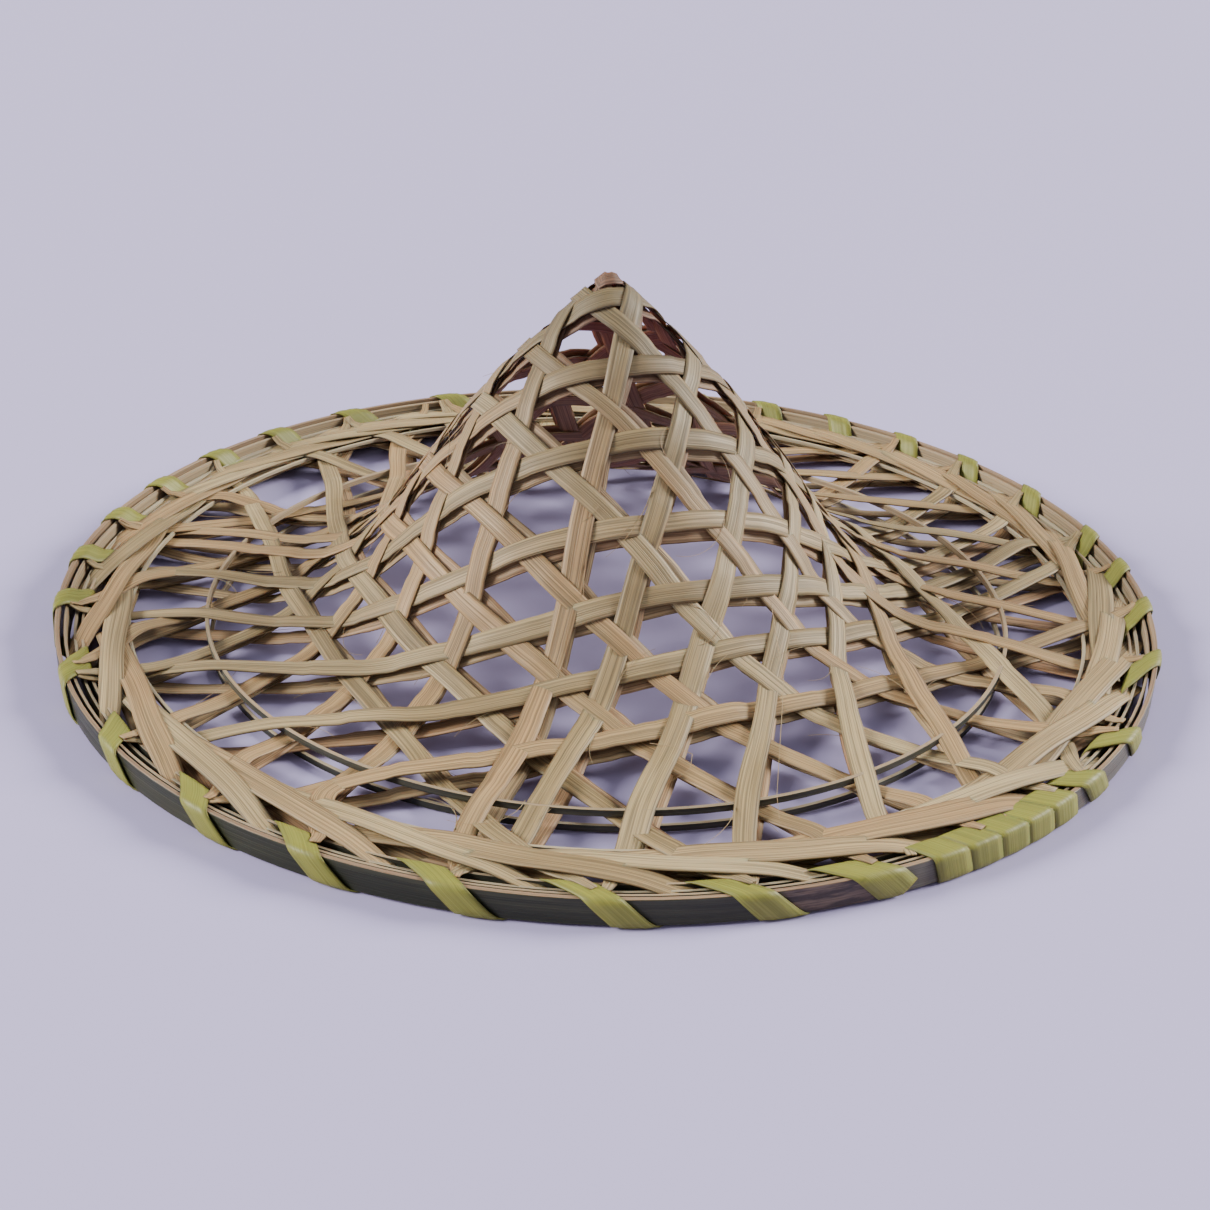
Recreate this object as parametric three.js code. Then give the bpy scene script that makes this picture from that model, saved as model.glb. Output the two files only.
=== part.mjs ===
// A conical bamboo hat: two open hexagonal weaves, one under the other, on a lashed rim.
// Millimetres, +Z up. The origin is on the ground under the centre of the rim.
// The front of the hat, where the rim's plain stretch is, faces -Y.

import * as THREE from "three";

// Whole hat
const HAT_RADIUS = 210.1;
const TIP_HEIGHT = 134.5;
const TIP_LEAN = -3.2;
const BRIM_HEIGHT = 6.4;
const TOUCHING_GAP = 0.3;

// Outline of the outer weave's upper side, from the tip out to the rim
const OUTLINE = [
  { radius: 0, height: TIP_HEIGHT },
  { radius: 6, height: 129.5 },
  { radius: 11, height: 125.5 },
  { radius: 18, height: 118.5 },
  { radius: 30, height: 106.5 },
  { radius: 45, height: 90.5 },
  { radius: 60, height: 72 },
  { radius: 75, height: 52.5 },
  { radius: 87, height: 36 },
  { radius: 98, height: 24.5 },
  { radius: 112, height: 15 },
  { radius: 130, height: 8.8 },
  { radius: 152, height: BRIM_HEIGHT },
  { radius: 180, height: BRIM_HEIGHT },
  { radius: 206, height: BRIM_HEIGHT },
];

// The weave: four quarters, each a sixth of a flat hexagonal net, so the net closes to a cone
const QUARTERS = 4;
const NET_TURN = -22;
const WEAVE_THICKNESS = 1.2;
const BETWEEN_WEAVES = 0.5;
const GAP_SHARE = 0.667;
const TIP_GAP_SHARE = 0.6;
const EDGE_RADIUS = 197.5;
const CLOSED_BAND_RADIUS = 175;
const THIRDS = 3;
const NET_SIDE_ANGLE = Math.PI / 3;
const NET_SIDE_RISE = Math.sin(NET_SIDE_ANGLE);
const RINGS_START_ROUNDING = 3;
const RINGS_END_ROUNDING = 6.5;

// Where each ring of gaps has its centres
const GAP_RINGS = [
  { ring: 0, radius: 0 },
  { ring: 1, radius: 19 },
  { ring: 2, radius: 38 },
  { ring: 3, radius: 56 },
  { ring: 4, radius: 73.5 },
  { ring: 5, radius: 93 },
  { ring: 6, radius: 119 },
  { ring: 7, radius: 151 },
];
const LAST_RING = GAP_RINGS.length - 1;

// Each weave is in two nodes, its crown and its brim, with a hair's breadth between them
const CROWN_LAST_RING = 5;
const SEAM_GAP = 0.45;

// Thin split-bamboo hoops that stiffen the brim. The middles of two of them lie forward of the tip
const THIN_HOOP_THICKNESS = 1;
const THIN_HOOP_SIDES = 32;
const UPPER_HOOP = { radius: 152, forward: 11, tall: 3.8, aboveWeave: 1.7 };
const LOWER_HOOP = { radius: 151, forward: 10, tall: 2.3, belowWeave: 0.45 };
const BRIM_HOOP = { radius: 183, forward: 0, tall: 3.2, aboveWeave: 0.6 };

// Rim: a thick hoop outside, a slim one inside, and the folded ends of the weave's strips between
const RIM_SIDES = 56;
const RIM_BOTTOM = 0.9;
const RIM_TOP = 10.1;
const RIM_OUTER = { inside: 206, outside: 208.7 };
const RIM_INNER = { inside: 199.3, outside: 201.3 };
const FOLDED_ENDS = { inside: 201.8, outside: 205.5 };

// Lashing: one flat strip wound round the rim
const STRIP_WIDTH = 11.5;
const STRIP_THICKNESS = 0.6;
const STRIP_OUTSIDE = HAT_RADIUS - STRIP_THICKNESS;
const STRIP_INSIDE = 198.6;
const STRIP_SLANT = 0.4;
const LARGEST_SLANT = 4.3;

// Where each turn crosses the top of the rim, in degrees from the front towards +X.
// The close turns at the right of the front are where the strip starts and ends.
const LASHING_TURNS = [
  26.4, 30.4, 34.4, 38.4, 42.4, 47.5, 57, 72.8, 84.5, 94.2, 102.8, 115.5, 127, 137, 147.5, 157.8,
  168, 178.5, 189, 202.5, 217, 228.5, 238.5, 249, 259, 269.5, 280, 295, 308.5, 322, 334, 346.5,
  359, 371, 381.8,
];

// Colours
const BAMBOO_CREAM = { color: 0xcbb083, roughness: 0.62, metalness: 0 };
const BAMBOO_SHADED = { color: 0xb48a62, roughness: 0.7, metalness: 0 };
const BAMBOO_GREEN = { color: 0x4d594a, roughness: 0.5, metalness: 0 };
const BAMBOO_SPLIT = { color: 0x8c7a52, roughness: 0.6, metalness: 0 };
const LASHING_YELLOW = { color: 0xb9b658, roughness: 0.5, metalness: 0 };

const smoothStep = THREE.MathUtils.smoothstep;
const radians = THREE.MathUtils.degToRad;

// The slope of the outline at one of its rows
function outlineSlope(row) {
  const before = OUTLINE[Math.max(row - 1, 0)];
  const after = OUTLINE[Math.min(row + 1, OUTLINE.length - 1)];
  return (after.height - before.height) / (after.radius - before.radius);
}

// Height and slope of the outer weave's upper side at a radius, as a smooth curve
function outlineAt(radius) {
  let row = 0;
  while (row < OUTLINE.length - 2 && OUTLINE[row + 1].radius < radius) row += 1;
  const a = OUTLINE[row];
  const b = OUTLINE[row + 1];
  const span = b.radius - a.radius;
  const t = THREE.MathUtils.clamp((radius - a.radius) / span, 0, 1);
  const slopeA = outlineSlope(row) * span;
  const slopeB = outlineSlope(row + 1) * span;
  const rest = 1 - t;
  const fromA = a.height * (1 + 2 * t) * rest ** 2 + slopeA * t * rest ** 2;
  const fromB = b.height * (3 - 2 * t) * t ** 2 - slopeB * rest * t ** 2;
  const chord = 6 * t * rest * (b.height - a.height);
  const slope = (chord + slopeA * rest * (1 - 3 * t) + slopeB * t * (3 * t - 2)) / span;
  return { height: fromA + fromB, slope };
}

// A point of the hat at a radius and an angle from the front, some depth under the outline
function hatPoint(radius, angle, depth) {
  const { height, slope } = outlineAt(radius);
  const normalLength = Math.hypot(slope, 1);
  const around = radius === 0 ? 0 : radius + (depth * slope) / normalLength;
  const z = radius === 0 ? height - depth * normalLength : height - depth / normalLength;
  const lean = (TIP_LEAN * Math.max(z - BRIM_HEIGHT, 0)) / (TIP_HEIGHT - BRIM_HEIGHT);
  return new THREE.Vector3(around * Math.sin(angle) + lean, -around * Math.cos(angle), z);
}

// The radius of a place in the net, counted in rings of gaps from the tip
function ringRadius(ring) {
  const row = Math.min(Math.floor(ring), LAST_RING - 1);
  const inner = GAP_RINGS[row];
  const outer = GAP_RINGS[row + 1];
  return inner.radius + (ring - inner.ring) * (outer.radius - inner.radius);
}

// Net places are counted in thirds of a ring, along the two sides of a quarter.
// A place past one side of its quarter is the same as a place of the next quarter.
function ownQuarter(quarter, u, v) {
  if (u <= 0 && v > 0) return ownQuarter(quarter + 1, u + v, -u);
  if (v < 0) return ownQuarter(quarter - 1, -v, u + v);
  return { quarter: (quarter + QUARTERS) % QUARTERS, u, v };
}

// Radius and angle of a place in the net. The net is true on the crown, and round at the rim.
function netPlace(quarter, u, v) {
  const ring = (u + v) / THIRDS;
  const along = u + v / 2;
  const across = v * NET_SIDE_RISE;
  const trueRing = Math.hypot(along, across) / THIRDS / NET_SIDE_RISE;
  const trueTurn = Math.atan2(across, along) / NET_SIDE_ANGLE;
  const roundness = smoothStep(ring, RINGS_START_ROUNDING, RINGS_END_ROUNDING);
  const shownRing = THREE.MathUtils.lerp(trueRing, ring, roundness);
  const shownTurn = THREE.MathUtils.lerp(trueTurn, v / (u + v), roundness);
  const radius = ring > LAST_RING ? EDGE_RADIUS : ringRadius(shownRing);
  return { radius, angle: radians(NET_TURN + (360 / QUARTERS) * (quarter + shownTurn)) };
}

// The shorter way round from one place to another
function turnBetween(from, to) {
  const turn = to.angle - from.angle;
  return Math.atan2(Math.sin(turn), Math.cos(turn));
}

// The six corners of the net round a gap, in order, from the gap's centre
const AROUND_GAP = [
  { u: 2, v: -1 },
  { u: 1, v: 1 },
  { u: -1, v: 2 },
  { u: -2, v: 1 },
  { u: -1, v: -1 },
  { u: 1, v: -2 },
];

// A pierced shell between two depths, with each corner shared by the cells that meet there
class WeaveShell {
  constructor(topDepth, seamGap) {
    this.depths = [topDepth, topDepth + WEAVE_THICKNESS];
    this.seamGap = seamGap;
    this.points = [];
    this.faces = [];
    this.corners = new Map();
  }

  // Adds one place on the upper and the under side, and gives the pair's number
  addPair(radius, angle) {
    for (const depth of this.depths) this.points.push(hatPoint(radius, angle, depth));
    return this.points.length / 2 - 1;
  }

  cornerPair(quarter, u, v) {
    const own = ownQuarter(quarter, u, v);
    const key = [own.quarter, own.u, own.v].join(" ");
    if (!this.corners.has(key)) {
      const place = netPlace(own.quarter, own.u, own.v);
      const startsHere = (own.u + own.v) / THIRDS < CROWN_LAST_RING + 1;
      const radius = place.radius + (startsHere ? this.seamGap : 0);
      this.corners.set(key, this.addPair(radius, place.angle));
    }
    return this.corners.get(key);
  }

  // One triangle of the upper side, and the same one turned over on the under side
  addSkin(a, b, c) {
    this.faces.push([2 * a, 2 * b, 2 * c]);
    this.faces.push([2 * a + 1, 2 * c + 1, 2 * b + 1]);
  }

  // A wall between the upper and the under side, with the material at the right of a to b
  addWall(a, b) {
    this.faces.push([2 * a, 2 * b, 2 * a + 1]);
    this.faces.push([2 * b, 2 * b + 1, 2 * a + 1]);
  }

  // A place on the way from the tip to a corner, on both sides
  addPairNearTip(corner) {
    this.depths.forEach((depth, side) => {
      this.points.push(hatPoint(0, 0, depth).lerp(this.points[2 * corner + side], TIP_GAP_SHARE));
    });
    return this.points.length / 2 - 1;
  }

  // The corner of a gap that faces the middle of one side of its cell
  gapCorner(centre, place, next) {
    const sideAngle = place.angle + turnBetween(place, next) / 2;
    const turn = turnBetween(centre, { angle: sideAngle }) * GAP_SHARE;
    const radius = THREE.MathUtils.lerp(centre.radius, (place.radius + next.radius) / 2, GAP_SHARE);
    return this.addPair(Math.min(radius, CLOSED_BAND_RADIUS), centre.angle + turn);
  }

  // The material of one cell, between its net corners and the corners of its gap
  addCell(corners, gap) {
    corners.forEach((corner, i) => {
      const gapBefore = gap[(i + gap.length - 1) % gap.length];
      this.addSkin(corner, corners[(i + 1) % corners.length], gap[i]);
      this.addSkin(corner, gap[i], gapBefore);
      this.addWall(gapBefore, gap[i]);
    });
  }

  // The four-sided cell at the tip, closed to a point or open in the middle
  addTip(open) {
    const corners = [];
    for (let quarter = 0; quarter < QUARTERS; quarter += 1) corners.push(this.cornerPair(quarter, 1, 1));
    const tip = open ? null : this.addPair(0, 0);
    const gap = open ? corners.map((corner) => this.addPairNearTip(corner)) : null;
    corners.forEach((corner, i) => {
      const after = (i + 1) % corners.length;
      this.addSkin(corner, corners[after], open ? gap[after] : tip);
      if (!open) return;
      this.addSkin(corner, gap[after], gap[i]);
      this.addWall(gap[i], gap[after]);
    });
  }

  addRings(first, last) {
    for (let quarter = 0; quarter < QUARTERS; quarter += 1)
      for (let ring = first; ring <= last; ring += 1)
        for (let step = 0; step < ring; step += 1) {
          const u = THIRDS * (ring - step);
          const v = THIRDS * step;
          const around = AROUND_GAP.map((way) => ownQuarter(quarter, u + way.u, v + way.v));
          const corners = around.map((own) => this.cornerPair(own.quarter, own.u, own.v));
          const places = around.map((own) => netPlace(own.quarter, own.u, own.v));
          const centre = netPlace(quarter, u, v);
          const after = (i) => places[(i + 1) % places.length];
          this.addCell(corners, places.map((place, i) => this.gapCorner(centre, place, after(i))));
        }
  }

  // The shell's own edges, found as the upper side's edges that only one triangle has
  addEdge() {
    const seen = new Map();
    for (const [a, b, c] of this.faces)
      for (const [from, to] of [[a, b], [b, c], [c, a]]) seen.set(from + " " + to, [from, to]);
    for (const [from, to] of [...seen.values()])
      if (!seen.has(to + " " + from) && from % 2 === 0) this.addWall(to / 2, from / 2);
  }

  geometry() {
    const flat = this.faces.flatMap((face) => face.flatMap((i) => this.points[i].toArray()));
    const made = new THREE.BufferGeometry();
    made.setAttribute("position", new THREE.Float32BufferAttribute(flat, 3));
    return made;
  }
}

function crownGeometry(topDepth, tipOpen) {
  const shell = new WeaveShell(topDepth, 0);
  shell.addTip(tipOpen);
  shell.addRings(1, CROWN_LAST_RING);
  shell.addEdge();
  return shell.geometry();
}

function brimGeometry(topDepth) {
  const shell = new WeaveShell(topDepth, SEAM_GAP);
  shell.addRings(CROWN_LAST_RING + 1, LAST_RING);
  shell.addEdge();
  return shell.geometry();
}

// A ring of rectangular section about the hat's axis
function ringGeometry(inside, outside, bottom, top, sides) {
  const section = [
    new THREE.Vector2(inside, bottom),
    new THREE.Vector2(outside, bottom),
    new THREE.Vector2(outside, top),
    new THREE.Vector2(inside, top),
    new THREE.Vector2(inside, bottom),
  ];
  return new THREE.LatheGeometry(section, sides).rotateX(Math.PI / 2);
}

function rimRingGeometry({ inside, outside }) {
  return ringGeometry(inside, outside, RIM_BOTTOM, RIM_TOP, RIM_SIDES);
}

// A thin hoop standing on edge
function thinHoopGeometry({ radius, forward, tall }, bottom) {
  const half = THIN_HOOP_THICKNESS / 2;
  const ring = ringGeometry(radius - half, radius + half, bottom, bottom + tall, THIN_HOOP_SIDES);
  return ring.translate(0, -forward, 0);
}

// The four edges of the strip at a corner of its path: on the rim's side and outside, to each hand
function stripSection(corner, turn) {
  const halfTurn = STRIP_WIDTH / 2 / corner.radius;
  const place = (out, hand) => {
    const radius = corner.radius + out * corner.outwards * STRIP_THICKNESS;
    const z = corner.height + out * corner.upwards * STRIP_THICKNESS;
    const angle = radians(turn) + hand * halfTurn;
    return [radius * Math.sin(angle), -radius * Math.cos(angle), z];
  };
  return [place(0, -1), place(0, 1), place(1, 1), place(1, -1)];
}

// The strip's path round the rim: up inside, over the top, down and along outside, and back under
function lashingSections() {
  const top = RIM_TOP + TOUCHING_GAP;
  const insideTop = { radius: STRIP_INSIDE, height: top, outwards: -1, upwards: 1 };
  const outsideTop = { radius: STRIP_OUTSIDE, height: top, outwards: 1, upwards: 1 };
  const outsideFoot = { radius: STRIP_OUTSIDE, height: STRIP_THICKNESS, outwards: 1, upwards: -1 };
  const insideFoot = { radius: STRIP_INSIDE, height: STRIP_THICKNESS, outwards: -1, upwards: -1 };
  const sections = [];
  LASHING_TURNS.forEach((turn, i) => {
    if (i > 0) sections.push(stripSection(insideFoot, turn));
    sections.push(stripSection(insideTop, turn));
    sections.push(stripSection(outsideTop, turn));
    if (i === LASHING_TURNS.length - 1) return;
    const slant = Math.min((LASHING_TURNS[i + 1] - turn) * STRIP_SLANT, LARGEST_SLANT);
    sections.push(stripSection(outsideFoot, turn + slant));
  });
  return sections;
}

// A closed band through a row of four-cornered sections
function bandGeometry(sections) {
  const flat = [];
  const addQuad = (a, b, c, d) => flat.push(...a, ...b, ...c, ...a, ...c, ...d);
  sections.slice(1).forEach((section, i) => {
    const before = sections[i];
    section.forEach((corner, k) => {
      const next = (k + 1) % section.length;
      addQuad(before[k], before[next], section[next], corner);
    });
  });
  const [a, b, c, d] = sections[0];
  const [e, f, g, h] = sections[sections.length - 1];
  addQuad(d, c, b, a);
  addQuad(e, f, g, h);
  const made = new THREE.BufferGeometry();
  made.setAttribute("position", new THREE.Float32BufferAttribute(flat, 3));
  return made;
}

const hat = new THREE.Group();

function addPiece(name, geometry, look) {
  const mesh = new THREE.Mesh(geometry, new THREE.MeshStandardMaterial(look));
  mesh.name = name;
  hat.add(mesh);
}

const innerDepth = WEAVE_THICKNESS + BETWEEN_WEAVES;
const underBothWeaves = BRIM_HEIGHT - innerDepth - WEAVE_THICKNESS;
const upperHoopBottom = BRIM_HEIGHT + UPPER_HOOP.aboveWeave;
const brimHoopBottom = BRIM_HEIGHT + BRIM_HOOP.aboveWeave;
const lowerHoopBottom = underBothWeaves - LOWER_HOOP.belowWeave - LOWER_HOOP.tall;

addPiece("outer_crown", crownGeometry(0, true), BAMBOO_CREAM);
addPiece("outer_brim", brimGeometry(0), BAMBOO_CREAM);
addPiece("inner_crown", crownGeometry(innerDepth, false), BAMBOO_SHADED);
addPiece("inner_brim", brimGeometry(innerDepth), BAMBOO_SHADED);
addPiece("upper_hoop", thinHoopGeometry(UPPER_HOOP, upperHoopBottom), BAMBOO_SPLIT);
addPiece("lower_hoop", thinHoopGeometry(LOWER_HOOP, lowerHoopBottom), BAMBOO_SPLIT);
addPiece("brim_hoop", thinHoopGeometry(BRIM_HOOP, brimHoopBottom), BAMBOO_SPLIT);
addPiece("rim_hoop_outer", rimRingGeometry(RIM_OUTER), BAMBOO_GREEN);
addPiece("rim_hoop_inner", rimRingGeometry(RIM_INNER), BAMBOO_SPLIT);
addPiece("folded_strip_ends", rimRingGeometry(FOLDED_ENDS), BAMBOO_CREAM);
addPiece("rim_lashing", bandGeometry(lashingSections()), LASHING_YELLOW);

export default hat;
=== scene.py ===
# %% [markdown]
# # A conical bamboo hat
# The hat is woven from thin bamboo strips. Two open weaves lie one under the other, thin hoops
# stiffen the brim, and a lashing holds the rim together. The hat's solids give the sizes, and
# this lesson replaces each of them with a piece that is built the way the real one is.

import math

import bmesh
import bpy
import numpy as np
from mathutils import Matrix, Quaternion, Vector


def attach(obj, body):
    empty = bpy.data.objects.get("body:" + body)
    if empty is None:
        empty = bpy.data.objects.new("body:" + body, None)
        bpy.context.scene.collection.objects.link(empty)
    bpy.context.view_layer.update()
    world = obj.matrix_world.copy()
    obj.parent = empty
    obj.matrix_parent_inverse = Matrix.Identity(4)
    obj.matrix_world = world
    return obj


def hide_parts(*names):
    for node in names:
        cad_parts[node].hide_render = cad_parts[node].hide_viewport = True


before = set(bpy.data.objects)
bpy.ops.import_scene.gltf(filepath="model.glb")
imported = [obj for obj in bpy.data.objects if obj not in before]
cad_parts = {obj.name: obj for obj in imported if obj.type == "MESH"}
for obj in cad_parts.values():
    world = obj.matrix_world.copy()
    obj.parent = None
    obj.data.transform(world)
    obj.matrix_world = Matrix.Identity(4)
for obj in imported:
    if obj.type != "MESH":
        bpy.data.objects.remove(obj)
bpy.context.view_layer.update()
print("nodes:", ", ".join(sorted(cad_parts)))

# %% [markdown]
# ## Camera
# The rim is a circle, and its picture is an ellipse. The shape of the ellipse gives the angle
# that the camera looks down at, and the difference between its near and its far half gives the
# distance. The camera looks at the middle of the rim, which the lens shift puts in its place.

# %% Camera
MM = 0.001
CAMERA_ELEVATION = math.radians(26.72)
CAMERA_DISTANCE = 672 * MM
CAMERA_ROLL = math.radians(1.85)
NEAREST_SEEN = 10 * MM
PICTURE_SIZE = 1210
FOCAL_PIXELS = 1692
RIM_CENTRE_PIXEL = (607.6, 601.4)
SENSOR_WIDTH = 36


def add_camera():
    """A camera in front of the hat, looking down at the middle of the rim."""
    data = bpy.data.cameras.new("camera")
    data.sensor_width = SENSOR_WIDTH
    data.lens = SENSOR_WIDTH * FOCAL_PIXELS / PICTURE_SIZE
    data.clip_start = NEAREST_SEEN
    data.shift_x = 0.5 - RIM_CENTRE_PIXEL[0] / PICTURE_SIZE
    data.shift_y = RIM_CENTRE_PIXEL[1] / PICTURE_SIZE - 0.5
    camera = bpy.data.objects.new("camera", data)
    bpy.context.scene.collection.objects.link(camera)
    back = Vector((0, -math.cos(CAMERA_ELEVATION), math.sin(CAMERA_ELEVATION)))
    camera.location = back * CAMERA_DISTANCE
    camera.rotation_mode = "QUATERNION"
    camera.rotation_quaternion = (-back).to_track_quat("-Z", "Y") @ Quaternion((0, 0, 1), CAMERA_ROLL)
    return camera


camera = add_camera()
bpy.context.scene.camera = camera
print("lens mm:", round(camera.data.lens, 2))

# %% [markdown]
# ## Outline
# The outline is a row of places from the tip out to the rim. A cubic curve that keeps its slope
# from one place to the next joins them, so the crown runs smoothly into the brim.
# All lengths from here on are in millimetres, and each piece is scaled to metres at its end.

# %% Outline
# Radius, and the height of the outer weave there
OUTLINE = [
    (0, 134.5), (6, 129.5), (11, 125.5), (18, 118.5), (30, 106.5), (45, 90.5), (60, 72), (75, 52.5),
    (87, 36), (98, 24.5), (112, 15), (130, 8.8), (152, 6.4), (180, 6.4), (206, 6.4),
]
TIP_HEIGHT = OUTLINE[0][1]
BRIM_HEIGHT = OUTLINE[-1][1]


def smooth_curve(table, x):
    """Height and slope at each x of a smooth curve through the rows of a table."""
    xs, ys = np.array(table, dtype=float).T
    before = np.arange(-1, len(xs) - 1).clip(0)
    after = np.arange(1, len(xs) + 1).clip(max=len(xs) - 1)
    slopes = (ys[after] - ys[before]) / (xs[after] - xs[before])
    row = (np.searchsorted(xs, x, side="right") - 1).clip(0, len(xs) - 2)
    span = xs[row + 1] - xs[row]
    t = ((x - xs[row]) / span).clip(0, 1)
    rest = 1 - t
    start, end = slopes[row] * span, slopes[row + 1] * span
    height = ys[row] * (1 + 2 * t) * rest**2 + start * t * rest**2
    height = height + ys[row + 1] * (3 - 2 * t) * t**2 - end * rest * t**2
    slope = 6 * t * rest * (ys[row + 1] - ys[row]) + start * rest * (1 - 3 * t) + end * t * (3 * t - 2)
    return height, slope / span


def smooth_step(value, start, end):
    """Goes smoothly from 0 to 1 while the value goes from start to end."""
    part = ((value - start) / (end - start)).clip(0, 1)
    return part * part * (3 - 2 * part)


print("height at radius 60:", smooth_curve(OUTLINE, np.array([60]))[0].round(1))

# %% [markdown]
# ## Places on the hat
# A place is given by its radius and by its turn from the front towards +X. The tip of a hat that
# has been worn leans a little, and its rim is no flat ring: round the sides and the back it stands
# higher than at the front. Both are worked into the places, so all that is laid there follows.

# %% Places
TIP_LEAN = -3.2

# The back rises by this much, and by this share of a place's height above the ground
BACK_RISE = 1.5
BACK_RISE_OF_HEIGHT = 0.3

# Where the rise begins and where it is full, by how far behind the axis a place lies
RISE_BEHIND = (-0.77, 0.09)

# The shares of the rise that come at the inner hoops and at the outer one, and their radii
RISE_OUTWARD = [(0.35, 188, 198), (0.65, 201, 206)]


def on_hat(radius, turn):
    """Points on the outline, and the ways straight out of it."""
    z, slope = smooth_curve(OUTLINE, radius)
    steep = np.hypot(slope, 1)
    lean = TIP_LEAN * ((z - BRIM_HEIGHT) / (TIP_HEIGHT - BRIM_HEIGHT)).clip(0)
    points = np.stack([radius * np.sin(turn) + lean, -radius * np.cos(turn), z], -1)
    normals = np.stack([-slope * np.sin(turn), slope * np.cos(turn), np.ones_like(z)], -1)
    return points, normals / steep[..., None]


def back_rise(radius, height, turn):
    """How much higher the rim stands round the sides and the back, most of all its outer edge."""
    behind = smooth_step(-np.cos(turn), *RISE_BEHIND)
    outward = sum(share * smooth_step(radius, start, end) for share, start, end in RISE_OUTWARD)
    return behind * outward * (BACK_RISE + BACK_RISE_OF_HEIGHT * height)


print("rise of the rim's top at the back:", round(float(back_rise(np.float64(208), 10, math.pi)), 1))

# %% [markdown]
# ## Four families of strips
# A flat hexagonal weave has strips in three directions. The tip of this hat has only four strips
# round it, so the strips come in four families, one for each quarter, and all strips of a family
# face about the same way. A table says how near to the tip each of them passes.

# %% Families
# Each strip's nearest radius to the tip, and where it faces there, in degrees past its family
FAMILIES = [
    {"name": "front", "faces": 0, "width": 7.0, "strips": [
        (9, 28), (28.5, 20), (48, 17), (66.5, 17), (81.5, 21), (96, 25), (116, 25)]},
    {"name": "right", "faces": 90, "width": 8.2, "strips": [
        (8.5, 27), (29.5, 20), (49, 19), (66.5, 19), (76, 27), (89, 30), (112, 28)]},
    {"name": "back", "faces": 180, "width": 7.4, "strips": [
        (10, 22), (29, 22), (48, 22), (66, 22), (82, 23), (98, 23), (117, 23)]},
    {"name": "left", "faces": 270, "width": 7.2, "strips": [
        (10.5, 25), (30, 27), (48, 27), (67, 28.5), (83, 27.5), (98.5, 26.5), (119.5, 26.5)]},
]
for family in FAMILIES:
    print("family", family["name"], "has strips:", len(family["strips"]))

# %% [markdown]
# ## Straight lines on the hat
# A bamboo strip bends easily out of its own plane and hardly at all within it. It therefore lies
# on the hat as a straight line would lie on the flat net from which the cone could be rolled.
# The net has four sixths of a full turn, so each sixth of the net becomes a quarter of the hat.
# The brim is flat, so a line there is straight as it is.

# %% Straight lines
STEP = 3.2
NET_STRETCH = 6 / 4
FOOT_RADII = np.linspace(90, 140, 7)[:, None]


def turn_by(nearest, radius):
    """How far round the hat a strip has gone by each radius, from where it is nearest the tip.
    The crown's foot is no sharp line, so the turn is the average for several foot radii."""
    feet = np.maximum(FOOT_RADII, nearest)
    on_crown = np.arccos((nearest / np.minimum(radius, feet)).clip(-1, 1))
    at_foot = np.arccos((nearest / feet).clip(-1, 1))
    on_brim = np.arccos((nearest / np.maximum(radius, feet)).clip(-1, 1)) - at_foot
    return (NET_STRETCH * on_crown + on_brim).mean(axis=0)


def even_steps(radius, turn):
    """The same path with its places an even step apart along the hat."""
    points, _ = on_hat(radius, turn)
    along = np.concatenate([[0], np.cumsum(np.linalg.norm(np.diff(points, axis=0), axis=1))])
    places = np.linspace(0, along[-1], round(along[-1] / STEP) + 1)
    return places, np.interp(places, along, radius), np.interp(places, along, turn)


print("a strip 9 mm from the tip has turned by, degrees:",
      np.degrees(turn_by(9, np.array([30, 100, 200]))).round())

# %% [markdown]
# ## Ends at the lashing
# The ends of the strips are caught under the turns of the lashing, so they are bent a few
# millimetres aside to the nearest turn. The turns follow each other at uneven distances, and a
# close group of them at the front right hides where the lashing begins.

# %% Ends at the lashing
# Where the lashing comes over the top of the rim, in degrees from the front. Its first and its
# last turn end out of sight under the others
LASHING_TURNS = [
    25.5, 29.7, 33.4, 36.9, 40.2, 43.6, 48, 57, 72.8, 84.5, 94.2, 102.8, 115.5, 127, 137, 147.5,
    157.8, 168, 178.5, 189, 202.5, 217, 228.5, 238.5, 249, 259, 269.5, 280, 295, 308.5, 322, 334,
    346.5, 359, 371, 381.8, 393,
]
BESIDE_LASHING = 1.6
LONGEST_PULL = 4
PULL_RADII = (176, 204)


def drawn_to_lashing(radius, turn, side):
    """The turns of a strip whose two ends are bent aside, to where the lashing holds them."""
    for end in (0, -1):
        apart = np.array(LASHING_TURNS) + BESIDE_LASHING - math.degrees(turn[end])
        apart = (apart + 180) % 360 - 180
        pull = apart[np.argmin(abs(apart))].clip(-LONGEST_PULL, LONGEST_PULL)
        this_end = np.sign(side) == np.sign(side[end])
        turn = turn + math.radians(pull) * smooth_step(radius, *PULL_RADII) * this_end
    return turn


print("turns of the lashing:", len(LASHING_TURNS))

# %% [markdown]
# ## A strip and its unevenness
# A strip is kept as the line down its middle, with the ways ahead, across and out at each place.
# Split bamboo is never quite even, so each strip sways a little out, aside, in width and in tilt.
# Slow waves of different lengths do that, and each strip starts them at places of its own.

# %% Strips
LIFT_SWAY = 0.18
SIDE_SWAY = 0.45
WIDTH_SWAY = 0.06
TILT_SWAY = 0.035

# The waves: which of the strip's own starts each one has, and its length
LIFT_WAVE = (0, 47)
TILT_WAVE = (1, 61)
SHORT_TILT_WAVE = (2, 23)
WIDTH_WAVE = (3, 83)
SIDE_WAVE = (2, 71)

# Each strip takes its grain from a place of its own within this length, in metres
GRAIN_LENGTH = 3


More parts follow.
